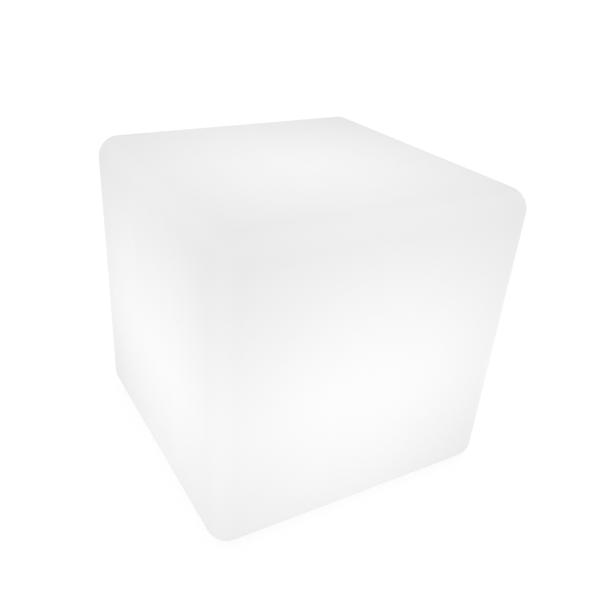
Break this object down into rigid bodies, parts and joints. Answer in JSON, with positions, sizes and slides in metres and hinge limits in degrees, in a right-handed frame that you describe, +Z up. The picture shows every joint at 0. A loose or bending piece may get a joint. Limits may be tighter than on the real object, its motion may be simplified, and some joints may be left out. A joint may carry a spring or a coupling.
{
  "type": "led cube light",
  "caption": "Glowing cube light with rounded edges, a light module in its underside, a press button and a stoppered charging port.",
  "frame": {"origin": "middle of the standing rim, on the ground", "axes": "+Z up; the underside's charging port lies towards -Y and its button towards +Y"},
  "size_m": [0.4, 0.4, 0.392],
  "materials": {
    "shell": "translucent white polyethylene, fine moulded texture, lit from inside",
    "brass": "turned brass",
    "seal": "grey silicone",
    "screw_steel": "stainless steel",
    "housing": "fine spark-textured white ABS",
    "lens": "clear polycarbonate",
    "board_aluminium": "white-masked aluminium board",
    "emitter": "emitter package with a yellow window",
    "black_package": "moulded black package",
    "board_green": "green masked circuit board",
    "button": "grey moulded cap",
    "light_pipe": "clear light pipe",
    "socket_black": "black nylon",
    "contact_chrome": "nickel plate",
    "stopper": "soft grey silicone",
    "cell_steel": "nickel-plated can",
    "wrap_blue": "blue shrink sleeve",
    "foam": "closed-cell foam",
    "lead_sleeve": "insulated lead"
  },
  "bodies": {
    "housing": {"cube_shell": "shell", "insert_nuts": "brass", "module_gasket": "seal", "module_screws": "screw_steel", "module_base": "housing", "lens_cover": "lens", "lens_seal": "seal", "lens_screws": "screw_steel", "led_board": "board_aluminium", "led_emitters": "emitter", "led_board_screws": "screw_steel", "ir_receiver": "black_package", "control_board": "board_green", "controller_chips": "black_package", "board_screws": "screw_steel", "push_switch": "black_package", "charge_indicator": "light_pipe", "charge_socket": "socket_black", "charge_socket_pin": "contact_chrome", "socket_washer": "seal", "socket_nut": "contact_chrome", "plug_anchor": "stopper", "battery_cell_left": "cell_steel", "battery_cell_right": "cell_steel", "battery_wrap": "wrap_blue", "battery_tabs": "contact_chrome", "battery_pad": "foam", "battery_leads": "lead_sleeve", "socket_leads": "lead_sleeve", "led_leads": "lead_sleeve"},
    "button": {"power_button": "button", "button_seal": "seal", "switch_plunger": "black_package"},
    "stopper": {"port_plug": "stopper"}
  },
  "joints": [
    {"name": "button_press", "type": "slide", "parent": "housing", "child": "button", "axis": [0, 0, 1], "range_m": [0, 0.001], "stiffness_N_per_m": 400, "springref_m": -0.003},
    {"name": "stopper_swing", "type": "hinge", "parent": "housing", "child": "stopper", "pos_m": [0.013, -0.031, 0.0219], "axis": [0, -1, 0], "range_deg": [0, 110]}
  ]
}
